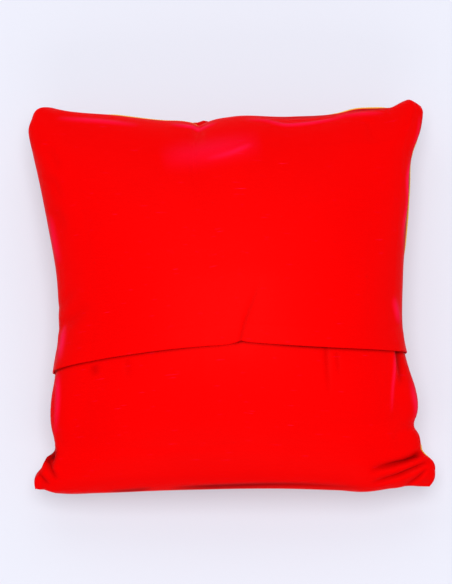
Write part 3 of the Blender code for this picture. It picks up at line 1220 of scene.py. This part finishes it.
@dataclass
class CushionFront:
    """The front cloth and its filling: one closed padded piece."""

    form: CushionForm
    finish: Cotton
    clearance: float = 0.25
    fill: float = 0.7

    def build(self) -> bpy.types.Object:
        """Returns:
            The piece.
        """
        form = self.form
        mesh = new_cloth_mesh()
        hidden = form.shown - form.out * (form.lower_press + self.clearance)[..., None]
        hidden = self.keep_rim(hidden, form.shown)
        grid_layer(mesh, hidden * MILLIMETRE, form.flat * MILLIMETRE)
        lower = grid_layer(mesh, form.resting * MILLIMETRE, form.flat * MILLIMETRE)
        bmesh.ops.reverse_faces(mesh, faces=faces_around(lower))
        weld_rim(mesh)
        piece = shown_object("cushion_front", mesh_data("cushion_front", mesh), self.finish.material())
        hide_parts("filled_front")
        return piece

    @staticmethod
    def keep_rim(moved: np.ndarray, start: np.ndarray) -> np.ndarray:
        """The moved surface with its rim where it was.

        Args:
            moved: the moved surface.
            start: the surface before it moved.

        Returns:
            The moved surface.
        """
        moved[0], moved[-1] = start[0], start[-1]
        moved[:, 0], moved[:, -1] = start[:, 0], start[:, -1]
        return moved


@dataclass
class BackPanels:
    """The two panels of the back: the lower one, and the upper one whose flap lies over it."""

    form: CushionForm
    finish: Cotton
    cloth: float = 0.8
    gap: float = 0.2
    overlap: float = 60.0
    hem_turn: float = 18.0
    hem_fullness: float = 0.3
    turn_step: float = 2.0
    edge_round: float = 0.9
    least_edge: float = 0.02
    lift_reach: float = 34.0
    end_before: float = 4.0
    end_after: float = 26.0
    flat_width: float = 0.4

    def build(self) -> list[bpy.types.Object]:
        return [self.lower(), self.upper()]

    def panel(
        self, name: str, inner: np.ndarray, outer: np.ndarray, rows: slice, painted_light: np.ndarray
    ) -> bpy.types.Object:
        """A sheet between two surfaces, closed along its cut edges.

        Args:
            name: the piece's name.
            inner: the surface of its underside, by column and row.
            outer: the surface of its shown side.
            rows: which of the form's rows these are.
            painted_light: the painted shade and painted highlights of the shown side.

        Returns:
            The new object.
        """
        mesh = new_cloth_mesh()
        flat = self.form.flat[:, rows] * MILLIMETRE
        grid_layer(mesh, outer * MILLIMETRE, flat, painted_light[:, rows])
        below = grid_layer(mesh, inner * MILLIMETRE, flat)
        bmesh.ops.reverse_faces(mesh, faces=faces_around(below))
        edges = [edge for edge in mesh.edges if edge.is_boundary]
        bmesh.ops.bridge_loops(mesh, edges=edges)
        return shown_object(name, mesh_data(name, mesh), self.finish.material())

    def rows_above_hem(self) -> np.ndarray:
        """How far each row lies above the hem, on the flat cloth."""
        along = self.form.flat[0, :, 1]
        return along - along[self.form.lattice.hem_row]

    def lower(self) -> bpy.types.Object:
        """The lower panel, from the bottom seam to its hidden edge under the flap.

        Returns:
            The piece.
        """
        form = self.form
        above = self.rows_above_hem()
        last = int(np.searchsorted(above, self.overlap))
        rows = slice(0, last + 1)
        base = form.shown[:, rows] - form.out[:, rows] * form.lower_press[:, rows, None]
        out = form.out[:, rows]
        piece = self.panel("lower_back", base, base + out * self.cloth, rows, form.lower_painted_light)
        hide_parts("lower_back_panel")
        return piece

    def upper(self) -> bpy.types.Object:
        """The upper panel, from its hem over the lower panel to the top seam.

        Returns:
            The piece.
        """
        form = self.form
        above = self.rows_above_hem()
        first = form.lattice.hem_row
        rows = slice(first, len(above))
        above = above[rows]
        lower_top = self.cloth + self.gap
        end = smooth_step(self.overlap - self.end_before, self.overlap + self.end_after, above)
        lift = lower_top * (1 - end)
        edge = form.hem_lift()[:, None] * (1 - smooth_step(0, self.lift_reach, above))[None, :]
        lift = lift[None, :] + edge
        double = 1 - smooth_step(self.hem_turn - self.turn_step, self.hem_turn + self.turn_step, above)
        thick = self.cloth * (1 + self.hem_fullness * double)
        inward = 1 - np.clip(above / self.edge_round, 0, 1)
        rounding = np.sqrt(np.clip(1 - inward**2, self.least_edge, 1))
        middle = lift + thick[None, :] / 2
        half = (thick * rounding / 2)[None, :]
        base, out = form.shown[:, rows], form.out[:, rows]
        inner = base + out * (middle - half)[..., None]
        outer = base + out * (middle + half)[..., None]
        piece = self.panel("upper_back", inner, outer, rows, form.painted_light)
        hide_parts("upper_back_panel")
        return piece


@dataclass
class SeamCord:
    """The thin two-strand yellow cord that is caught in the seam all the way round."""

    form: CushionForm
    finish: CordFinish
    strand_radius: float = 0.5
    strand_offset: float = 0.33
    twist_pitch: float = 5.0
    spacing: float = 0.6
    tucked_out: float = -0.6
    shown_out: float = 1.95
    tucked_drop: float = 1.6
    shown_drop: float = 0.3
    corner_tuck: float = 2.2
    corner_reach: float = 5.0
    smoothing: int = 9
    rings: int = 1

    def shows(self) -> np.ndarray:
        """How far the cord shows at each point of the rim, evened out along it.

        Returns:
            The share shown at each point.
        """
        surface = self.form.shown - self.form.shift
        runs = (
            (Side.BOTTOM, surface[:-1, 0, 0]),
            (Side.RIGHT, surface[-1, :-1, 1]),
            (Side.TOP, surface[:0:-1, -1, 0]),
            (Side.LEFT, surface[0, :0:-1, 1]),
        )
        shown = np.concatenate(
            [
                np.interp(at, column_of(CORD[side], "along"), column_of(CORD[side], "shows"))
                for side, at in runs
            ]
        )
        half = self.smoothing // 2
        around = np.concatenate([shown[-half:], shown, shown[:half]])
        return np.convolve(around, np.ones(self.smoothing) / self.smoothing, "valid")

    def into_corners(self, rim: np.ndarray) -> np.ndarray:
        """The move towards the middle that hides the cord in the cloth at the four corners.

        Args:
            rim: the points round the seam.

        Returns:
            The move of each point, in millimetres.
        """
        columns, rows = (count - 1 for count in self.form.lattice.shape)
        first = np.array([0, columns, columns + rows, 2 * columns + rows])
        away = np.linalg.norm(rim[:, None] - rim[first][None], axis=-1).min(axis=1)
        near = self.corner_tuck * np.exp(-((away / self.corner_reach) ** 2))[:, None]
        return unit(rim * np.array([-1, -1, 0])) * near

    def route(self) -> np.ndarray:
        """The cord's middle line, in millimetres.

        Returns:
            Its points, once round the seam.
        """
        rim = self.form.rim(self.form.shown)
        out = self.form.rim(self.form.out)
        shows = self.shows()[:, None]
        away = self.tucked_out + (self.shown_out - self.tucked_out) * shows
        drop = self.tucked_drop + (self.shown_drop - self.tucked_drop) * shows
        return rim + out * away + self.into_corners(rim) - np.array([0, 0, 1]) * drop

    def strands(self) -> list[np.ndarray]:
        """The middle lines of the two strands that twist round each other, in millimetres.

        Returns:
            The points of each strand.
        """
        route = self.route()
        closed = np.concatenate([route, route[:1]])
        travelled = np.concatenate([[0], np.cumsum(np.linalg.norm(np.diff(closed, axis=0), axis=1))])
        length = travelled[-1]
        log.info("cord %.0f mm long", length)
        at = np.linspace(0, length, round(length / self.spacing), endpoint=False)
        middle = np.stack([np.interp(at, travelled, closed[:, axis]) for axis in range(3)], axis=-1)
        along = unit(np.roll(middle, -1, axis=0) - np.roll(middle, 1, axis=0))
        side = unit(np.cross(along, np.array([0.0, 0.0, 1.0])))
        lift = np.cross(side, along)
        angle = (at / length * round(length / self.twist_pitch) * FULL_TURN)[:, None]
        turned = [angle, angle + FULL_TURN / 2]
        return [middle + (side * np.cos(turn) + lift * np.sin(turn)) * self.strand_offset for turn in turned]

    def build(self) -> bpy.types.Object:
        """Sweeps the cord's strands round the seam.

        Returns:
            The piece.
        """
        curve = bpy.data.curves.new("seam_cord", "CURVE")
        curve.dimensions = "3D"
        curve.bevel_depth = self.strand_radius * MILLIMETRE
        curve.bevel_resolution = self.rings
        for strand in self.strands():
            spline = curve.splines.new("POLY")
            spline.points.add(len(strand) - 1)
            for point, place in zip(spline.points, strand * MILLIMETRE):
                point.co = (*place, 1)
            spline.use_cyclic_u = True
        drawn = bpy.data.objects.new("seam_cord_line", curve)
        bpy.context.scene.collection.objects.link(drawn)
        bpy.context.view_layer.update()
        graph = bpy.context.evaluated_depsgraph_get()
        data = bpy.data.meshes.new_from_object(drawn.evaluated_get(graph))
        bpy.data.objects.remove(drawn)
        piece = shown_object("seam_cord", data, self.finish.material())
        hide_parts("seam_edging")
        return piece


@dataclass(frozen=True)
class Softbox:
    """One square or oblong soft light, aimed at the cushion."""

    name: str
    place: tuple[float, float, float]
    width: float
    height: float
    power: float


@dataclass
class Studio:
    """The pale floor, the soft light and the camera."""

    floor_size: float = 8.0
    floor_colour: Colour = (0.41, 0.41, 0.455, 1.0)
    floor_glow: Colour = (0.88, 0.9, 1.0, 1.0)
    glow_strength: float = 0.36
    floor_roughness: float = 0.9
    world_colour: Colour = (0.92, 0.95, 1.0, 1.0)
    world_strength: float = 0.40
    softboxes: tuple[Softbox, ...] = (
        Softbox("front_softbox", (0.0, 0.1, 2.4), 1.3, 1.3, 40.0),
        Softbox("top_softbox", (-0.15, 1.3, 1.3), 1.8, 1.0, 9.0),
        Softbox("left_strip", (-1.5, 0.05, 0.5), 1.6, 0.5, 2.5),
        Softbox("right_strip", (1.5, 0.05, 0.5), 1.6, 0.5, 3.0),
        Softbox("low_strip", (0.0, -1.6, 0.9), 1.6, 0.6, 12.0),
    )
    frame_height_px: float = 584.0
    focal_px: float = 1842.4
    film: float = 36.0
    distance: float = 1.8
    tilt: float = 10.0
    aim: tuple[float, float, float] = (-0.0031, 0.0001, 0.05)

    def build(self) -> None:
        """Builds the floor, the lights and the camera."""
        self.floor()
        for softbox in self.softboxes:
            self.light(softbox)
        self.world()
        self.camera()

    def floor(self) -> None:
        """The plain pale floor."""
        mesh = bmesh.new()
        bmesh.ops.create_grid(mesh, x_segments=1, y_segments=1, size=self.floor_size / 2)
        data = mesh_data("floor", mesh)
        finish = FinishNodes("pale_floor")
        finish.shade(
            Base_Color=self.floor_colour,
            Roughness=self.floor_roughness,
            Specular_IOR_Level=0.0,
            Emission_Color=self.floor_glow,
            Emission_Strength=self.glow_strength,
        )
        data.materials.append(finish.material)
        floor = bpy.data.objects.new("floor", data)
        bpy.context.scene.collection.objects.link(floor)

    @staticmethod
    def light(softbox: Softbox) -> None:
        """Hangs one softbox.

        Args:
            softbox: its place, size and power.
        """
        data = bpy.data.lights.new(softbox.name, "AREA")
        data.shape = "RECTANGLE"
        data.size = softbox.width
        data.size_y = softbox.height
        data.energy = softbox.power
        lamp = bpy.data.objects.new(softbox.name, data)
        lamp.location = softbox.place
        towards = Vector(LAMP_AIM) - Vector(softbox.place)
        lamp.rotation_euler = towards.to_track_quat("-Z", "Y").to_euler()
        bpy.context.scene.collection.objects.link(lamp)

    def world(self) -> None:
        """Even light from all round."""
        world = bpy.data.worlds.new("soft_room")
        world.use_nodes = True
        background = world.node_tree.nodes["Background"]
        background.inputs["Color"].default_value = self.world_colour
        background.inputs["Strength"].default_value = self.world_strength
        bpy.context.scene.world = world

    def camera(self) -> None:
        """The camera, almost straight above the shown face."""
        data = bpy.data.cameras.new("camera")
        data.sensor_width = self.film
        data.lens = self.film * self.focal_px / self.frame_height_px
        camera = bpy.data.objects.new("camera", data)
        tilt = math.radians(self.tilt)
        back = Vector((0, -math.sin(tilt), math.cos(tilt)))
        camera.location = Vector(self.aim) + back * self.distance
        camera.rotation_euler = (tilt, 0, 0)
        bpy.context.scene.collection.objects.link(camera)
        bpy.context.scene.camera = camera
        bpy.context.scene.view_settings.view_transform = "Standard"


def main() -> None:
    """Builds the dressed cushion, piece by piece."""
    logging.basicConfig(level=logging.INFO, format="%(name)s: %(message)s", stream=sys.stdout)
    form = CushionForm(CushionShape())
    form.build(Settling())
    log.info("form: %d by %d points", *form.lattice.shape)
    back_cotton = Cotton(
        name="red_cotton", colour=(0.74, 0.0001, 0.0001, 1.0), shade=(0.72, 0.0001, 0.0001, 1.0)
    )
    front_cotton = Cotton(
        name="front_red_cotton", colour=(0.62, 0.001, 0.001, 1.0), shade=(0.56, 0.001, 0.001, 1.0)
    )
    front = CushionFront(form, front_cotton).build()
    log.info("piece %s", front.name)
    for panel in BackPanels(form, back_cotton).build():
        log.info("piece %s", panel.name)
    cord = SeamCord(form, CordFinish()).build()
    log.info("piece %s", cord.name)
    Studio().build()


if __name__ == "__main__":
    main()
